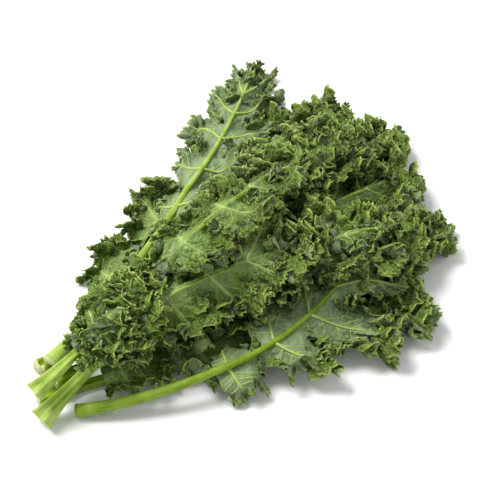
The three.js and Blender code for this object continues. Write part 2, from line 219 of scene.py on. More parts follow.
def rib_foot(leaf, share):
    """How far along the leaf a rib starts, in millimetres."""
    return midrib(leaf)[2] * lerp(leaf["bare"], 1, 1 - (1 - share) ** FOOT_CROWDING)


class Solid:
    """A node of the frame, with its points looked up in plan."""

    def __init__(self, name):
        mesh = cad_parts[name].data
        points = np.empty(len(mesh.vertices) * 3)
        mesh.vertices.foreach_get("co", points)
        self.points = np.unique(points.reshape(-1, 3).round(6), axis=0)

    def middle_height(self, x, y):
        """The height half way between its two faces at a point that both have a vertex near."""
        away = np.hypot(self.points[:, 0] - x, self.points[:, 1] - y)
        return self.points[np.argsort(away)[:2], 2].mean()

    def ring_height(self, x, y, radius):
        """The height of the middle of the ring of vertices round a point."""
        away = np.hypot(self.points[:, 0] - x, self.points[:, 1] - y)
        ring = self.points[away < radius * RING_REACH, 2]
        return (ring.min() + ring.max()) / 2


def plan_shift():
    """How far the solids were moved in plan to stand over their origin, from the first stalk."""
    leaf = LEAVES[0]
    corners = []
    for i in range(STALK_RINGS):
        distance = midrib(leaf)[2] * i / (STALK_RINGS - 1)
        x, y, heading = midrib_at(leaf, distance)
        for k in range(STALK_SIDES):
            angle = 2 * math.pi * (k + 0.5) / STALK_SIDES
            sideways = stalk_radius(leaf, distance) * math.sin(angle)
            corners.append((x + sideways * math.sin(heading), y - sideways * math.cos(heading)))
    low = np.min(corners, axis=0) * MM
    return np.array(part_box("leaf_01_stalk")[0][:2]) - low


SHIFT = plan_shift()


def spline_at(points, places):
    """A smooth line through points, read at places counted from the first point."""
    ends = np.concatenate([[2 * points[0] - points[1]], points, [2 * points[-1] - points[-2]]])
    before = np.clip(places.astype(int), 0, len(points) - 2)
    s = (places - before).reshape(-1, *([1] * (points.ndim - 1)))
    p0, p1, p2, p3 = (ends[before + i] for i in range(4))
    bend = (2 * p0 - 5 * p1 + 4 * p2 - p3) * s**2 + (3 * p1 - 3 * p2 + p3 - p0) * s**3
    return 0.5 * (2 * p1 + (p2 - p0) * s + bend)


def control_rows(leaf, seed, solid):
    """The solids' points of a blade, row by row, each row from the base of one side round the tip
    to the base of the other."""
    draws = random_numbers(seed)
    found = {}
    for side in (1, -1):
        next(draws)  # the phase of the solids' waves
        for station in range(STATIONS + 1):
            share = station / STATIONS
            x, y, heading = midrib_at(leaf, rib_foot(leaf, share))
            angle = heading + side * math.radians(BASE_RIB_ANGLE) * (1 - share) ** RIB_TURN
            next(draws)  # the height of the solids' wave
            reach = rib_length(leaf, share) * (1 + RIB_UNEVENNESS * (2 * next(draws) - 1))
            for r, row in enumerate(ROWS):
                key = (side, r, station)
                if station == STATIONS and side < 0:
                    found[key] = found[(1, r, station)]
                    continue
                if station % ROW_STEPS[r]:
                    continue
                px = (x + reach * row * math.cos(angle)) * MM + SHIFT[0]
                py = (y + reach * row * math.sin(angle)) * MM + SHIFT[1]
                found[key] = (px, py, solid.middle_height(px, py))
    rows = []
    for r, step in enumerate(ROW_STEPS):
        out = [found[(1, r, station)] for station in range(0, STATIONS + 1, step)]
        back = [found[(-1, r, station)] for station in range(STATIONS - step, -1, -step)]
        rows.append(np.array(out + back))
    return rows


def row_shares():
    """The share of a rib's length at which each row of the fine sheet lies."""
    shares, start = [], 0
    for end, count, _ in ZONES:
        shares += [lerp(start, end, i / count) for i in range(count)]
        start = end
    return np.array(shares + [1.0])


SHARES = row_shares()


def across_rows(lines, shares):
    """Points between the rows' lines: a smooth curve out along each rib."""
    lines = np.array(lines)
    rows = np.array(ROWS)
    slopes = np.gradient(lines, rows, axis=0)
    out = np.empty((lines.shape[1], len(shares), 3))
    for j, share in enumerate(shares):
        k = min(np.searchsorted(rows, share, side="right") - 1, len(rows) - 2)
        width = rows[k + 1] - rows[k]
        s = (share - rows[k]) / width
        out[:, j] = (
            (2 * s**3 - 3 * s**2 + 1) * lines[k]
            + (s**3 - 2 * s**2 + s) * width * slopes[k]
            + (3 * s**2 - 2 * s**3) * lines[k + 1]
            + (s**3 - s**2) * width * slopes[k + 1]
        )
    return out


def directions(sheet):
    """Along the margin, out along the ribs and up from the sheet, at each of its points."""
    along = np.gradient(sheet, axis=0)
    out = unit(np.gradient(sheet, axis=1))
    along = unit(along - (along * out).sum(-1, keepdims=True) * out)
    return along, out, np.cross(along, out)


def smooth_noise(random, length, spacing):
    """A function of distance that wanders from -1 to 1, with a value drawn at each spacing."""
    values = random.uniform(-1, 1, int(length / spacing) + SPARE_VALUES)
    return lambda distance: spline_at(values, np.ravel(distance) / spacing).reshape(distance.shape)


def room_from(point, way, tree):
    """How much of a full frill's room there is from a point, up or down, as way is 1 or -1."""
    start = Vector(point) + Vector((0, 0, way * ROOM_START))
    distance = tree.ray_cast(start, Vector((0, 0, way)), ROOM_FOR_FRILL)[3]
    free = ROOM_FOR_FRILL if distance is None else distance
    if way < 0:
        free = min(free, max(0, point[2]))
    return free / ROOM_FOR_FRILL


def room_round(rows, tree):
    """How much of a full frill there is room for above and below the solids' points, from 0 to 1,
    by station round the blade and by row."""
    stations = np.arange(2 * STATIONS + 1)
    rooms = []
    for way in (1, -1):
        room = np.ones((len(stations), len(ROWS)))
        for k, (row, step) in enumerate(zip(rows, ROW_STEPS)):
            found = [room_from(point, way, tree) for point in row]
            room[:, k] = np.interp(stations, np.arange(len(row)) * step, found)
        rooms.append(room)
    return rooms


def look_directions():
    looks = []
    for elevation in map(math.radians, LOOK_ELEVATIONS):
        level = math.cos(elevation)
        for k in range(LOOK_TURNS):
            turn = 2 * math.pi * k / LOOK_TURNS
            look = (level * math.cos(turn), level * math.sin(turn), math.sin(elevation))
            looks.append(Vector(look))
    return looks


def open_to_view(rows, tree):
    """How well each station's margin can be seen past other leaves: 0 from nowhere, and 1 where it
    shows in half of the directions or more."""
    looks = look_directions()
    seen = []
    for point in rows[-1]:
        start = Vector(point) + Vector((0, 0, LOOK_START))
        free = sum(tree.ray_cast(start, look)[0] is None for look in looks)
        seen.append(min(1, 2 * free / len(looks)))
    seen = np.array(seen)
    return np.maximum(seen, (np.roll(seen, 1) + np.roll(seen, -1)) / 2)


def column_places(rows, seen):
    """The station at which each column of the fine sheet lies, closest where the margin is long
    and open to view, and the same on both sides."""
    steps = np.linalg.norm(np.diff(rows[-1], axis=0), axis=1)
    need = COVERED_COLUMNS + (1 - COVERED_COLUMNS) * seen
    need = steps * (need[1:] + need[:-1]) / 2
    need = np.maximum(need[:STATIONS], need[STATIONS:][::-1])
    need = np.convolve(np.pad(need, 1, mode="edge"), COLUMN_SMOOTHING, mode="valid")
    total = np.concatenate([[0], np.cumsum(need)])
    step = ZONES[0][2]
    count = int(round(total[-1] / COLUMN_SPACING / step)) * step
    half = np.interp(np.linspace(0, total[-1], count + 1), total, np.arange(STATIONS + 1))
    return np.concatenate([half, 2 * STATIONS - half[-2::-1]])


def over_sheet(values, places):
    """A value by station and row of the solids, spread over the fine sheet."""
    stations = np.arange(values.shape[0])
    columns = np.stack([np.interp(places, stations, line) for line in values.T], axis=1)
    return np.stack([np.interp(SHARES, ROWS, line) for line in columns])


def margin_distance(sheet):
    """How far along its margin each column of the sheet lies."""
    steps = np.linalg.norm(np.diff(sheet[:, -1], axis=0), axis=1)
    return np.concatenate([[0], np.cumsum(steps)])[:, None]


def turned_up(sheet, leaf, random, distance, ways, above, below):
    """The sheet with its margin turned towards the face that shows, and some lobes folded back."""
    _, out, up = ways
    face, room = (1, above) if leaf["side"] == "upper" else (-1, below)
    turned = ease(SHARES[None, :], TURN_UP["start"], 1.0) * room
    fold = smooth_noise(random, distance[-1, 0], FOLD["length"])
    back = TURN_UP["back"] + FOLD["back"] * np.maximum(0, face * fold(distance))
    sheet = sheet + (face * TURN_UP["height"] * turned)[..., None] * up
    return sheet - (back * turned)[..., None] * out


def crimped(sheet, frill, random, distance, ways, below, full_size):
    """The sheet with one row of waves along its margin."""
    along, out, up = ways
    shares = SHARES[None, :]
    wavelength = frill["wavelength"]
    wander, strength, lean = (
        smooth_noise(random, distance[-1, 0], value["spacing"] * wavelength)
        for value in (WANDER, STRENGTH, LEAN)
    )
    phase = 2 * math.pi * distance / wavelength + WANDER["phase"] * wander(distance)
    phase = phase + LEAN["inner_phase"] * lean(distance) * (1 - shares)
    size = ease(shares, frill["start"], 1.0) * (1 + STRENGTH["size"] * strength(distance))
    size = size * full_size
    rise = np.sin(phase) + (1 - below) * CRAMPED_RISE
    sway = np.cos(phase + LEAN["sway_phase"] * lean(distance))
    loops = -np.sin(2 * phase)
    sheet = sheet + (size * rise * frill["height"])[..., None] * up
    sheet = sheet + (size * sway * frill["sway"])[..., None] * out
    return sheet + (size * loops * frill["loops"])[..., None] * along


def frilled(sheet, leaf, seed, above, below, seen):
    """The sheet with its margin turned up and crimped, wave upon wave, where its neighbours leave
    room."""
    random = np.random.RandomState(seed)
    for level, frill in enumerate(FRILLS[leaf["side"]]):
        distance = margin_distance(sheet)
        ways = directions(sheet)
        full_size = lerp(CRAMPED_SIZE, 1, above)
        if level == 1:
            sheet = turned_up(sheet, leaf, random, distance, ways, above, below)
        if level == 2:
            full_size = full_size * lerp(HIDDEN_SIZE, 1, seen)
        sheet = crimped(sheet, frill, random, distance, ways, below, full_size)
    sheet[..., 2] = np.maximum(sheet[..., 2], FLOOR_CLEARANCE)
    return sheet


def sheet_triangles(columns, rows):
    """Triangles of the fine sheet, with fewer columns towards the midrib. Both sides of the leaf
    share the midrib's points."""
    index = np.arange((columns + 1) * rows).reshape(columns + 1, rows)
    index[columns // 2 + 1 :, 0] = index[: (columns + 1) // 2, 0][::-1]
    steps = [step for _, count, step in ZONES for _ in range(count)]
    steps.append(ZONES[-1][2])
    triangles = []
    for j in range(rows - 1):
        step, outer = steps[j], steps[j + 1]
        a = np.arange(0, columns, step)
        b = a + step
        if step == outer:
            triangles.append(np.stack([index[a, j], index[b, j], index[b, j + 1]], axis=1))
            triangles.append(np.stack([index[a, j], index[b, j + 1], index[a, j + 1]], axis=1))
        else:
            m = a + outer
            triangles.append(np.stack([index[a, j], index[m, j + 1], index[a, j + 1]], axis=1))
            triangles.append(np.stack([index[a, j], index[b, j], index[m, j + 1]], axis=1))
            triangles.append(np.stack([index[b, j], index[b, j + 1], index[m, j + 1]], axis=1))
    return np.concatenate(triangles)


def point_normals(points, triangles):
    a, b, c = (points[triangles[:, i]] for i in range(3))
    faces = np.cross(b - a, c - a)
    normals = np.zeros_like(points)
    for i in range(3):
        np.add.at(normals, triangles[:, i], faces)
    return unit(normals)


def open_edges(triangles):
    """The edges that only one triangle has, in its own direction."""
    edges = np.concatenate([triangles[:, [0, 1]], triangles[:, [1, 2]], triangles[:, [2, 0]]])
    key = edges.min(1).astype(np.int64) * (triangles.max() + 1) + edges.max(1)
    _, first, count = np.unique(key, return_index=True, return_counts=True)
    return edges[first[count == 1]]


def new_mesh(name, points, faces, materials, face_material=None):
    """A smooth piece made of triangles."""
    mesh = bpy.data.meshes.new(name)
    mesh.vertices.add(len(points))
    mesh.vertices.foreach_set("co", points.astype(np.float32).ravel())
    mesh.loops.add(faces.size)
    mesh.loops.foreach_set("vertex_index", faces.astype(np.int32).ravel())
    mesh.polygons.add(len(faces))
    mesh.polygons.foreach_set("loop_start", np.arange(len(faces), dtype=np.int32) * 3)
    mesh.polygons.foreach_set("use_smooth", np.ones(len(faces), dtype=bool))
    for material in materials:
        mesh.materials.append(material)
    if face_material is not None:
        mesh.polygons.foreach_set("material_index", face_material.astype(np.int32))
    mesh.update(calc_edges=True)
    mesh.validate()
    piece = bpy.data.objects.new(name, mesh)
    bpy.context.scene.collection.objects.link(piece)
    return piece


def keep_places(piece, name, places):
    """Keeps where each point lies on its leaf, for the material."""
    attribute = piece.data.attributes.new(name, "FLOAT_VECTOR", "POINT")
    attribute.data.foreach_set("vector", places.astype(np.float32).ravel())


def blade_piece(name, sheet, places, leaf, materials):
    """The closed thin solid of a blade, its upward face first."""
    triangles = sheet_triangles(sheet.shape[0] - 1, sheet.shape[1])
    points = sheet.reshape(-1, 3)
    normals = point_normals(points, triangles)
    used, compact = np.unique(triangles, return_inverse=True)
    triangles = compact.reshape(-1, 3)
    points, normals = points[used], normals[used]
    count = len(points)
    half = SHEET_THICKNESS / 2
    both = np.concatenate([points + half * normals, points - half * normals])
    rim = open_edges(triangles)
    a, b = rim[:, 0], rim[:, 1]
    rim_faces = np.concatenate(
        [np.stack([a, a + count, b + count], axis=1), np.stack([a, b + count, b], axis=1)]
    )
    faces = np.concatenate([triangles, triangles[:, ::-1] + count, rim_faces])
    top, bottom = (0, 1) if leaf["side"] == "upper" else (1, 0)
    face_material = np.concatenate(
        [np.full(len(triangles), top), np.full(len(triangles), bottom), np.zeros(len(rim_faces))]
    )
    piece = new_mesh(name, both, faces, materials, face_material)
    share = 1 - np.abs(places / STATIONS - 1)[:, None]
    side = np.sign(places - STATIONS)[:, None]
    place = np.stack(np.broadcast_arrays(share, SHARES[None, :], side), axis=-1)
    place = place.reshape(-1, 3)[used]
    keep_places(piece, "leaf_place", np.tile(place, (2, 1)))
    return piece


def tube(path, radii, sides, flatness=1.0):
    """A ring of points round each point of a path, and the ways up from the path."""
    forward = unit(np.gradient(path, axis=0))
    sideways = unit(np.cross(forward, [0, 0, 1.0]))
    up = np.cross(sideways, forward)
    angle = 2 * math.pi * np.arange(sides) / sides
    across = np.cos(angle)[None, :, None] * sideways[:, None]
    raised = np.sin(angle)[None, :, None] * up[:, None] * flatness
    return path[:, None] + radii[:, None, None] * (across + raised), up


def tube_triangles(rings, sides):
    """The triangles of a tube's skin, and those that close its two ends."""
    index = np.arange(rings * sides).reshape(rings, sides)
    after = np.roll(index, -1, axis=1)
    a, b, c, d = index[:-1], after[:-1], after[1:], index[1:]
    skin = np.concatenate([np.stack([a, b, c], axis=-1), np.stack([a, c, d], axis=-1)])
    fan = np.array([(0, k, k + 1) for k in range(1, sides - 1)])
    ends = np.concatenate([fan[:, ::-1], fan + (rings - 1) * sides])
    return skin.reshape(-1, 3), ends


def stalk_path(leaf, name, sheet):
    """The stalk's line, on its solid where it is bare and along the sheet as its midrib, with its
    radii and how far it has joined the sheet, from 0 to 1."""
    length = midrib(leaf)[2]
    bare = leaf["bare"] * length
    solid = Solid(name)
    heights = []
    for i in range(STALK_RINGS):
        distance = length * i / (STALK_RINGS - 1)
        x, y, _ = midrib_at(leaf, distance)
        px, py = x * MM + SHIFT[0], y * MM + SHIFT[1]
        heights.append(solid.ring_height(px, py, stalk_radius(leaf, distance) * MM))
    share = np.linspace(0, 1, TUBE_RINGS)
    distance = share * length
    plan = np.array([midrib_at(leaf, d)[:2] for d in distance]) * MM + SHIFT
    radii = np.array([stalk_radius(leaf, d) for d in distance]) * MM
    curve = np.polyfit(np.linspace(0, 1, STALK_RINGS), heights, TUBE_CURVE_POWER)
    on_solid = np.maximum(np.polyval(curve, share), TUBE_FLATNESS * radii)
    foot_line = sheet[: sheet.shape[0] // 2 + 1, 0]
    steps = np.linalg.norm(np.diff(foot_line[:, :2], axis=0), axis=1)
    along = bare * MM + np.concatenate([[0], np.cumsum(steps)])
    on_foot_line = np.interp(distance * MM, along, foot_line[:, 2])
    as_midrib = on_foot_line + lerp(*MIDRIB_RISE[leaf["side"]], share) * radii
    joined = ease(distance, bare + JOINING_MM[0], bare + JOINING_MM[1])
    return np.column_stack([plan, lerp(on_solid, as_midrib, joined)]), radii, joined


def groove_profile(angle):
    """How deep a stalk's groove is round the tube: 1 along its top, below 0 on its raised banks."""
    away = angle - math.pi / 2
    groove = np.exp(-((away / GROOVE_WIDTH) ** 2))
    banks = np.exp(-(((np.abs(away) - BANKS["away"]) / BANKS["width"]) ** 2))
    return groove - BANKS["height"] * banks


def stalk_piece(leaf, name, sheet, materials):
    """The closed tube of a stalk and its midrib, the second material on its two ends."""
    path, radii, joined = stalk_path(leaf, name, sheet)
    rings, up = tube(path, radii, TUBE_SIDES, TUBE_FLATNESS)
    angle = 2 * math.pi * np.arange(TUBE_SIDES) / TUBE_SIDES
    groove, inwards = groove_profile(angle), -up
    if leaf["side"] == "under":
        groove, inwards = np.roll(groove, TUBE_SIDES // 2), up
    depth = (lerp(*GROOVE_DEPTH, joined) * radii)[:, None] * groove[None]
    ridges = RIDGES["height"] * radii[:, None] * np.sin(RIDGES["count"] * angle)[None]
    outwards = unit(rings - path[:, None])
    rings = rings + depth[..., None] * inwards[:, None] + ridges[..., None] * outwards
    rings[..., 2] = np.maximum(rings[..., 2], 0)
    skin, ends = tube_triangles(TUBE_RINGS, TUBE_SIDES)
    faces = np.concatenate([skin, ends])
    face_material = np.repeat([0, 1], [len(skin), len(ends)])
    piece = new_mesh(name + "_tube", rings.reshape(-1, 3), faces, materials, face_material)
    share = np.repeat(np.linspace(0, 1, TUBE_RINGS), TUBE_SIDES)
    turn_share = np.tile(np.arange(TUBE_SIDES) / TUBE_SIDES, TUBE_RINGS)
    keep_places(piece, "stalk_place", np.column_stack([share, turn_share, np.zeros(len(share))]))
    return piece


def branch_line(station, way, start, spread):
    """A branch of a vein, on one side of it: stations, shares of a rib's length and radii."""
    reach = np.linspace(start, min(start + BRANCH["length"], VEIN_END), BRANCH["points"])
    swing = np.linspace(0, 1, BRANCH["points"]) ** BRANCH["curve"]
    stations = station + way * (STATIONS / LOBES) * spread * swing
    stations = np.clip(stations, VEIN_MARGIN, 2 * STATIONS - VEIN_MARGIN)
    return stations, reach, lerp(*BRANCH["radii_mm"], swing)


def vein_lines(places, leaf):
    """Each vein and branch of the sheet, as columns, shares of a rib's length and radii."""
    lines = []
    for side in (0, 1):
        for k in range(int(LOBES) + 1):
            share = (k + 0.5 - FIRST_NOTCH) / LOBES  # in the middle of a lobe
            station = share * STATIONS if side == 0 else (2 - share) * STATIONS
            size = VEIN_SIZE[leaf["side"]] * (1 - VEIN_THINNING * share)
            reach = np.linspace(0, VEIN_END, LATERAL["points"])
            radii = lerp(*LATERAL["radii_mm"], reach ** LATERAL["taper"])
            lines.append((np.full(len(reach), station), reach, radii * size))
            for start, spread in BRANCHES:
                for way in (-1, 1):
                    stations, reach, radii = branch_line(station, way, start, spread)
                    lines.append((stations, reach, radii * size))
    columns = np.arange(len(places))
    return [
        (np.interp(stations, places, columns), reach, radii * MM)
        for stations, reach, radii in lines
    ]


def on_sheet(grid, column, reach):
    """The sheet's values at places between its columns and rows."""
    row = np.interp(reach, SHARES, np.arange(len(SHARES)))
    c0 = np.clip(column.astype(int), 0, grid.shape[0] - 2)
    r0 = np.clip(row.astype(int), 0, grid.shape[1] - 2)
    cs, rs = (column - c0)[:, None], (row - r0)[:, None]
    return (
        grid[c0, r0] * (1 - cs) * (1 - rs)
        + grid[c0 + 1, r0] * cs * (1 - rs)
        + grid[c0, r0 + 1] * (1 - cs) * rs
        + grid[c0 + 1, r0 + 1] * cs * rs
    )


def vein_piece(leaf, name, sheet, places, material):
    """The raised veins on the sheet's upward face, as low tubes sunk into it."""
    _, _, up = directions(sheet)
    rise = VEIN_RISE[leaf["side"]]
    points, faces, count = [], [], 0
    for column, reach, radii in vein_lines(places, leaf):
        normal = unit(on_sheet(up, column, reach))
        path = on_sheet(sheet, column, reach)
        path = path + normal * (SHEET_THICKNESS / 2 + rise * radii)[:, None]
        rings, _ = tube(path, radii, VEIN_SIDES)
        points.append(rings.reshape(-1, 3))
        faces += [part + count for part in tube_triangles(len(path), VEIN_SIDES)]
        count += len(path) * VEIN_SIDES
    return new_mesh(name, np.concatenate(points), np.concatenate(faces), [material])


class Shader:
    """A material made of nodes, with short ways to add and join them."""

    def __init__(self, name):
        self.material = bpy.data.materials.new(name)
        self.material.use_nodes = True
        self.nodes = self.material.node_tree.nodes
        self.links = self.material.node_tree.links
        self.surface = self.nodes["Principled BSDF"]

    def node(self, kind, **settings):
        node = self.nodes.new(kind)
        for key, value in settings.items():
            setattr(node, key, value)
        return node

    def feed(self, socket, value):
        """Links a socket to another one, or gives it a fixed value."""
        if isinstance(value, bpy.types.NodeSocket):
            self.links.new(value, socket)
        else:
            socket.default_value = value

    def set_surface(self, values):
        for name, value in values.items():
            self.feed(self.surface.inputs[name], value)

    def math(self, operation, *values):
        node = self.node("ShaderNodeMath", operation=operation)
        for socket, value in zip(node.inputs, values):
            self.feed(socket, value)
        return node.outputs[0]

    def ramp(self, value, start, end):
        """Smoothly from 0 at the start to 1 at the end, whichever of the two is higher."""
        node = self.node("ShaderNodeMapRange", interpolation_type="SMOOTHSTEP")
        for name, number in (("Value", value), ("From Min", start), ("From Max", end)):
            self.feed(node.inputs[name], number)
        return node.outputs[0]

    def mix(self, factor, first, second):
        node = self.node("ShaderNodeMix", data_type="RGBA")
        self.feed(node.inputs["Factor"], factor)
        self.feed(node.inputs[6], first)
        self.feed(node.inputs[7], second)
        return node.outputs[2]

    def tint(self, base, tone, where, amount):
        """The base with an amount of another tone in it, where a mask is 1."""
        return self.mix(self.math("MULTIPLY", where, amount), base, tone)

    def object_place(self):
        return self.node("ShaderNodeTexCoord").outputs["Object"]

    def parts(self, vector):
        node = self.node("ShaderNodeSeparateXYZ")
        self.feed(node.inputs[0], vector)
        return node.outputs

    def attribute(self, name):
        return self.parts(self.node("ShaderNodeAttribute", attribute_name=name).outputs["Vector"])

    def noise(self, place, scale, detail=3.0):
        node = self.node("ShaderNodeTexNoise")
        self.feed(node.inputs["Vector"], place)
        self.feed(node.inputs["Scale"], scale)
        self.feed(node.inputs["Detail"], detail)
        return node.outputs["Fac"]

    def cell_edges(self, place, scale):
        """The distance from the edges of a net of cells."""
        node = self.node("ShaderNodeTexVoronoi", feature="DISTANCE_TO_EDGE")
        self.feed(node.inputs["Vector"], place)
        self.feed(node.inputs["Scale"], scale)
        return node.outputs["Distance"]

    def wavering(self, place, scale, reach):
        """A place pushed to and fro by a noise, by up to half the reach along each axis."""
        push = self.math("SUBTRACT", self.noise(place, scale, detail=1.0), 0.5)
        push = self.math("MULTIPLY", push, reach)
        pushes = self.node("ShaderNodeCombineXYZ")
        for socket in pushes.inputs:
            self.feed(socket, push)
        moved = self.node("ShaderNodeVectorMath", operation="ADD")
        self.feed(moved.inputs[0], place)
        self.feed(moved.inputs[1], pushes.outputs[0])
        return moved.outputs[0]

    def bump(self, height, strength, distance):
        node = self.node("ShaderNodeBump")
        self.feed(node.inputs["Height"], height)
        self.feed(node.inputs["Strength"], strength)
        self.feed(node.inputs["Distance"], distance)
        self.feed(self.surface.inputs["Normal"], node.outputs[0])


def linear(value):
    """An 8-bit screen value as a share of full light."""
    share = value / 255
    return ((share + 0.055) / 1.055) ** 2.4 if value > 10 else share / 12.92


def colour(red, green, blue):
    """A colour given in 8-bit screen values."""
    return (linear(red), linear(green), linear(blue), 1.0)


# How closely the patterns of the materials repeat, in cells or waves of noise a metre
BLOTCHES = 38.0
SPECKLES = 420.0
PUCKERS = 85.0
SMALL_VEINS = 330.0
LARGE_VEINS = 120.0
SMALL_CRINKLES = 330.0
LARGE_CRINKLES = 150.0
CRINKLE_WAVER = dict(scale=260.0, reach=6 * MM)
STALK_BLOTCHES = 60.0
FIBRES = 900.0
STAINS = 400.0
FLOOR_CLOUDS = 3.0

# Where the looks of a blade and a stalk change
YOUNG_REACH = (0.03, -0.16)  # along the bunch, from none to most of the fresh green
FLAT_MIDDLE = (0.5, 0.15)  # of a rib's length, from none to most of the bloom
FRILL_START = (0.3, 0.6)  # of a rib's length, over which the crinkles set in
RIM_START = (0.95, 1.0)  # of a rib's length, over which the pale edge sets in
MIDRIB_STAIN = 0.045  # of a rib's length
VEIN_STAIN = (0.085, -0.06)  # half width in lobes at the midrib, and its change to the margin
VEIN_CORE = 0.3  # of that half width, where it is palest
STREAKS = (14.0, 60.0)  # in a stalk's length, and round it
PALE_END = 0.09  # of a stalk's length

BLADE_ROUGHNESS = 0.46
STALK_ROUGHNESS = 0.4
UNEVEN_GLOSS = 0.12  # by which the paler patches are rougher


def blade_greens(shader, tones, place, row, blotches, puckers):
    """The ground: freshest on the young blades near the stalks, greyer with bloom in the flat
    middle, and darkened with painted shade in the hollows of its puckers."""
    base = shader.mix(blotches, tones["dark"], tones["light"])
    young = shader.ramp(shader.parts(place)[0], *YOUNG_REACH)
    base = shader.tint(base, tones["fresh"], young, amount=0.75)
    speckles = shader.ramp(shader.noise(place, SPECKLES, detail=2.0), 0.42, 0.7)
    base = shader.tint(base, tones["light"], speckles, amount=0.25)
    flat_middle = shader.ramp(row, *FLAT_MIDDLE)
    base = shader.tint(base, tones["bloom"], flat_middle, amount=0.6)
    # painted shade: the dark green laid where the puckers' relief is low
    hollow_shade = shader.ramp(puckers, 0.52, 0.36)
    return shader.tint(base, tones["dark"], hollow_shade, amount=0.4)


def blade_veins(shader, base, tone, share, row, place):
    """Pale veins over a base: the net of small ones, those out into the lobes, wide at the midrib
    and thin towards the margin, and a line along the midrib."""
    fine = shader.ramp(shader.cell_edges(place, SMALL_VEINS), 0.09, 0.0)
    coarse = shader.ramp(shader.cell_edges(place, LARGE_VEINS), 0.06, 0.0)
    net = shader.math("MULTIPLY_ADD", fine, 0.3, shader.math("MULTIPLY", coarse, 0.2))
    base = shader.mix(net, base, tone)
    lobe = shader.math("FRACT", shader.math("MULTIPLY_ADD", share, LOBES, FIRST_NOTCH))
    off_middle = shader.math("ABSOLUTE", shader.math("SUBTRACT", lobe, 0.5))
    width = shader.math("MULTIPLY_ADD", row, VEIN_STAIN[1], VEIN_STAIN[0])
    lateral = shader.ramp(off_middle, width, shader.math("MULTIPLY", width, VEIN_CORE))
    base = shader.tint(base, tone, lateral, amount=0.7)
    return shader.tint(base, tone, shader.ramp(row, MIDRIB_STAIN, 0.0), amount=0.5)


def frill_crinkles(shader, place, row, strength):
    """The crests and pits that fill the frill between its folds, in two sizes, which shape its
    relief and carry its painted highlight and painted shade.
    """
    moved = shader.wavering(place, **CRINKLE_WAVER)
    small = shader.cell_edges(moved, SMALL_CRINKLES)
    large = shader.cell_edges(moved, LARGE_CRINKLES)
    in_frill = shader.math("MULTIPLY", shader.ramp(row, *FRILL_START), strength)
    crest = shader.math("ADD", shader.ramp(small, 0.1, 0.0), shader.ramp(large, 0.1, 0.0))
    pit = shader.math("ADD", shader.ramp(small, 0.1, 0.4), shader.ramp(large, 0.12, 0.4))
    return shader.math("MULTIPLY", crest, in_frill), shader.math("MULTIPLY", pit, in_frill)


def blade_relief(shader, place, puckers, crest, pit):
    """The height of a blade's skin: puckers, the pillows between its veins, and its crinkles."""
    puffs = shader.ramp(shader.cell_edges(place, SMALL_VEINS), 0.0, 0.3)
    pillows = shader.ramp(shader.cell_edges(place, LARGE_VEINS), 0.0, 0.35)
    height = shader.math("MULTIPLY_ADD", puffs, 0.35, pillows)
    height = shader.math("MULTIPLY_ADD", crest, 2.2, height)
    height = shader.math("MULTIPLY_ADD", pit, -1.2, height)
    return shader.math("MULTIPLY_ADD", puckers, 7.0, height)


def blade_material(name, crinkles, **tones):
    """A blade's face, with painted highlight along the crests of its crinkles and painted shade in
    their pits, and a pale edge along the margin."""
    shader = Shader(name)
    share, row, _ = shader.attribute("leaf_place")
    place = shader.object_place()
    blotches = shader.ramp(shader.noise(place, BLOTCHES), 0.38, 0.64)
    puckers = shader.noise(place, PUCKERS, detail=2.0)
    crest, pit = frill_crinkles(shader, place, row, crinkles)
    base = blade_greens(shader, tones, place, row, blotches, puckers)
    base = blade_veins(shader, base, tones["vein"], share, row, place)
    # painted shade: the pits of the crinkles, low in the relief, darkened
    base = shader.tint(base, tones["shade"], pit, amount=0.42)
    # painted highlight: the crests of the crinkles, high in the relief, lightened with the rim
    # colour
    base = shader.tint(base, tones["rim"], crest, amount=0.42)
    base = shader.mix(shader.ramp(row, *RIM_START), base, tones["rim"])
    shader.set_surface(
        {
            "Base Color": base,
            "Roughness": shader.math("MULTIPLY_ADD", blotches, UNEVEN_GLOSS, BLADE_ROUGHNESS),
            "Specular IOR Level": 0.4,
            "Subsurface Weight": 0.08,
            "Subsurface Radius": (0.6, 1.0, 0.2),
            "Subsurface Scale": 2 * MM,
        }
    )
    relief = blade_relief(shader, place, puckers, crest, pit)
    shader.bump(relief, strength=0.85, distance=1 * MM)
    return shader.material


def stalk_material(name, dark, light, pale):
    """A stalk's streaked skin, paler in blotches and at its cut end. The raised veins keep no
    place on a stalk, so theirs has no streaks and is as pale as at a cut end."""
    shader = Shader(name)
    share, turn, _ = shader.attribute("stalk_place")
    stretched = shader.node("ShaderNodeCombineXYZ")
    shader.feed(stretched.inputs[0], shader.math("MULTIPLY", share, STREAKS[0]))
    shader.feed(stretched.inputs[1], shader.math("MULTIPLY", turn, STREAKS[1]))
    streaks = shader.ramp(shader.noise(stretched.outputs[0], 1.0), 0.35, 0.65)
    blotches = shader.ramp(shader.noise(shader.object_place(), STALK_BLOTCHES), 0.4, 0.65)
    base = shader.mix(streaks, dark, light)
    base = shader.tint(base, pale, blotches, amount=0.5)
    base = shader.tint(base, pale, shader.ramp(share, PALE_END, 0.0), amount=0.5)
    shader.set_surface(
        {
            "Base Color": base,
            "Roughness": shader.math("MULTIPLY_ADD", streaks, UNEVEN_GLOSS, STALK_ROUGHNESS),
            "Specular IOR Level": 0.3,
            "Subsurface Weight": 0.1,
            "Subsurface Radius": (0.8, 1.0, 0.3),
            "Subsurface Scale": 3 * MM,
        }
    )
    shader.bump(streaks, strength=0.3, distance=0.5 * MM)
    return shader.material


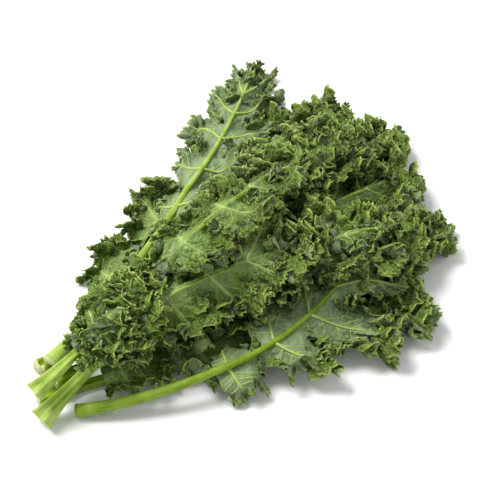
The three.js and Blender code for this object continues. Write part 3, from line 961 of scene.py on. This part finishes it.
def cut_material(name, pith, skin):
    """The cut end of a stalk: moist pith with fibres in it, stained in places."""
    shader = Shader(name)
    place = shader.object_place()
    fibres = shader.ramp(shader.cell_edges(place, FIBRES), 0.02, 0.25)
    stains = shader.ramp(shader.noise(place, STAINS), 0.45, 0.7)
    base = shader.tint(shader.mix(fibres, skin, pith), skin, stains, amount=0.4)
    rough = shader.math("MULTIPLY_ADD", stains, 0.2, STALK_ROUGHNESS)
    shader.set_surface({"Base Color": base, "Roughness": rough})
    shader.bump(fibres, strength=0.4, distance=0.4 * MM)
    return shader.material


UPPER = blade_material(
    "kale_upper_side",
    crinkles=1.0,
    shade=colour(14, 26, 0),
    # dark is the blotches' own deep green and also the painted shade in the puckers' hollows
    dark=colour(34, 54, 4),
    light=colour(96, 124, 26),
    fresh=colour(98, 138, 8),
    bloom=colour(120, 144, 84),
    vein=colour(150, 174, 88),
    # rim is the margin's own pale edge and also the painted highlight on the crinkles' crests
    rim=colour(186, 212, 100),
)
UNDER = blade_material(
    "kale_underside",
    crinkles=0.3,
    shade=colour(46, 62, 28),
    # dark is the blotches' own deep green and also the painted shade in the puckers' hollows
    dark=colour(78, 98, 58),
    light=colour(132, 152, 110),
    fresh=colour(116, 140, 86),
    bloom=colour(124, 146, 104),
    vein=colour(146, 166, 116),
    # rim is the margin's own pale edge and also the painted highlight on the crinkles' crests
    rim=colour(160, 180, 92),
)
STALK = stalk_material(
    "kale_stalk",
    dark=colour(78, 108, 2),
    light=colour(122, 150, 14),
    pale=colour(148, 172, 44),
)
PALE_STALK = stalk_material(
    "kale_pale_stalk",
    dark=colour(106, 138, 20),
    light=colour(150, 178, 58),
    pale=colour(180, 200, 108),
)
UPPER_VEIN = stalk_material(
    "kale_upper_vein",
    dark=colour(124, 150, 72),
    light=colour(160, 182, 104),
    pale=colour(174, 194, 122),
)
UNDER_VEIN = stalk_material(
    "kale_under_vein",
    dark=colour(118, 144, 52),
    light=colour(152, 176, 82),
    pale=colour(170, 190, 104),
)
CUT = cut_material("kale_cut_end", pith=colour(206, 214, 160), skin=colour(168, 176, 96))


def others_tree(name):
    """What the other leaves' solids take up."""
    points, polygons = [], []
    for other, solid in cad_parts.items():
        if other.startswith(name):
            continue
        start = len(points)
        points += [v.co.copy() for v in solid.data.vertices]
        polygons += [[start + i for i in p.vertices] for p in solid.data.polygons]
    return BVHTree.FromPolygons(points, polygons)


def make_leaf(i, leaf):
    name = f"leaf_{i + 1:02d}"
    rows = control_rows(leaf, i + 1, Solid(name + "_blade"))
    tree = others_tree(name)
    above, below = room_round(rows, tree)
    seen = open_to_view(rows, tree)
    places = column_places(rows, seen)
    lines = [spline_at(row, places / step) for row, step in zip(rows, ROW_STEPS)]
    plain = across_rows(lines, SHARES)
    above, below = over_sheet(above, places), over_sheet(below, places)
    seen = np.interp(places, np.arange(len(seen)), seen)[:, None]
    sheet = frilled(plain, leaf, i + 1, above, below, seen)
    blade = blade_piece(name + "_sheet", sheet, places, leaf, [UPPER, UNDER])
    skin = PALE_STALK if i in PALE_STALKED else STALK
    stalk = stalk_piece(leaf, name + "_stalk", sheet, [skin, CUT])
    vein = UNDER_VEIN if leaf["side"] == "under" else UPPER_VEIN
    veins = vein_piece(leaf, name + "_veins", sheet, places, vein)
    slot = "leaf_upper_side" if leaf["side"] == "upper" else "leaf_underside"
    for piece, node, finish in ((blade, "_blade", slot), (stalk, "_stalk", "stalk")):
        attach(piece, "root")
        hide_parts(name + node)
    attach(veins, "root")


for i, leaf in enumerate(LEAVES):
    make_leaf(i, leaf)

# The camera, from the front left and above, as the photograph looks down on the bunch
AZIMUTH = math.radians(-43)
ELEVATION = math.radians(50)
CAMERA_DISTANCE = 1.6
PIXELS_PER_METRE = 1080
IMAGE_WIDTH = 500
OFF_CENTRE = (6, 27)  # pixels

# A white studio, lit from behind on the left, with the shadows falling to the front right
KEY_LIGHT = dict(location=(-0.6, 1.4, 2.5), size=1.7, power=118)
FILL_LIGHT = dict(location=(1.4, -1.2, 1.6), size=1.6, power=6)
WORLD_STRENGTH = 0.56
FLOOR_REACH = 8


def make_camera():
    """The scene's camera. Gives back the point that it looks at."""
    ahead = Vector((-math.sin(AZIMUTH), math.cos(AZIMUTH), 0))
    right = Vector((math.cos(AZIMUTH), math.sin(AZIMUTH), 0))
    view = ahead * math.cos(ELEVATION) - Vector((0, 0, math.sin(ELEVATION)))
    up = right.cross(view)
    target = Vector((*SHIFT, 0))
    target -= right * (OFF_CENTRE[0] / PIXELS_PER_METRE)
    target -= up * (OFF_CENTRE[1] / PIXELS_PER_METRE)
    data = bpy.data.cameras.new("camera")
    data.angle = 2 * math.atan(IMAGE_WIDTH / 2 / PIXELS_PER_METRE / CAMERA_DISTANCE)
    camera = bpy.data.objects.new("camera", data)
    camera.location = target - view * CAMERA_DISTANCE
    camera.rotation_euler = view.to_track_quat("-Z", "Y").to_euler()
    bpy.context.scene.collection.objects.link(camera)
    bpy.context.scene.camera = camera
    return target


def make_area_light(name, target, location, size, power):
    data = bpy.data.lights.new(name, "AREA")
    data.shape = "DISK"
    data.size = size
    data.energy = power
    light = bpy.data.objects.new(name, data)
    light.location = location
    light.rotation_euler = (target - Vector(location)).to_track_quat("-Z", "Y").to_euler()
    bpy.context.scene.collection.objects.link(light)


def make_floor():
    shader = Shader("studio_floor")
    cloudy = shader.noise(shader.object_place(), FLOOR_CLOUDS, detail=1.0)
    tone = shader.mix(cloudy, colour(246, 247, 248), colour(250, 250, 250))
    shader.set_surface({"Base Color": tone, "Roughness": 0.9})
    corners = FLOOR_REACH * np.array([(-1, -1, 0), (1, -1, 0), (1, 1, 0), (-1, 1, 0)])
    floor = new_mesh("studio_floor", corners, np.array([(0, 1, 2), (0, 2, 3)]), [shader.material])


def make_world():
    world = bpy.data.worlds.new("studio")
    world.use_nodes = True
    background = world.node_tree.nodes["Background"]
    background.inputs["Color"].default_value = (1, 1, 1, 1)
    background.inputs["Strength"].default_value = WORLD_STRENGTH
    bpy.context.scene.world = world


TARGET = make_camera()
make_area_light("key_light", TARGET, **KEY_LIGHT)
make_area_light("fill_light", TARGET, **FILL_LIGHT)
make_floor()
make_world()
bpy.context.scene.view_settings.view_transform = "Standard"
